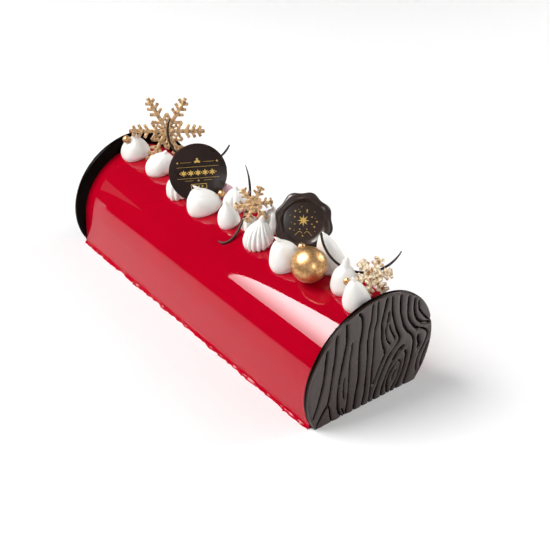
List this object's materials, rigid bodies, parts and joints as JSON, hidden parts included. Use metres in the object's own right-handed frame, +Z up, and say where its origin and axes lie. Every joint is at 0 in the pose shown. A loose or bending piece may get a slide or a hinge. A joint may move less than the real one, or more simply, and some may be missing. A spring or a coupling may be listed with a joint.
{
  "type": "yule log cake",
  "caption": "Half-round log cake under red mirror glaze between wood-grained dark chocolate end discs, topped with meringue kisses, gold snowflakes, plaques, curls and pearls.",
  "frame": {"origin": "under the middle of the log, on the surface it stands on", "axes": "+X along the log towards the near end disc, +Y across it, +Z up"},
  "size_m": [0.2344, 0.092, 0.1002],
  "materials": {
    "red_mirror_glaze": "poured red mirror glaze, wet high gloss",
    "dark_chocolate": "moulded dark chocolate, satin",
    "meringue": "baked white meringue, dry and matt",
    "pink_meringue": "baked pale pink meringue, dry and matt",
    "gold_lustre": "edible gold lustre dust over chocolate, metallic sheen"
  },
  "bodies": {
    "root": {"glazed_log": "red_mirror_glaze", "end_disc_near": "dark_chocolate", "end_disc_far": "dark_chocolate", "kiss_01": "meringue", "kiss_02": "meringue", "kiss_03": "meringue", "kiss_04": "meringue", "kiss_05": "meringue", "kiss_06": "meringue", "kiss_07": "meringue", "kiss_08": "meringue", "kiss_09": "meringue", "kiss_10": "meringue", "kiss_11": "meringue", "kiss_12": "meringue", "kiss_13": "meringue", "kiss_14": "pink_meringue", "kiss_15": "meringue", "kiss_16": "meringue", "snowflake_far": "gold_lustre", "snowflake_middle": "gold_lustre", "snowflake_near": "gold_lustre", "round_plaque": "dark_chocolate", "seal_plaque": "dark_chocolate", "gold_ball": "gold_lustre", "pearl_1": "gold_lustre", "pearl_2": "gold_lustre", "pearl_3": "gold_lustre", "pearl_4": "gold_lustre", "curl_far": "dark_chocolate", "curl_middle": "dark_chocolate", "curl_near": "dark_chocolate"}
  },
  "joints": []
}
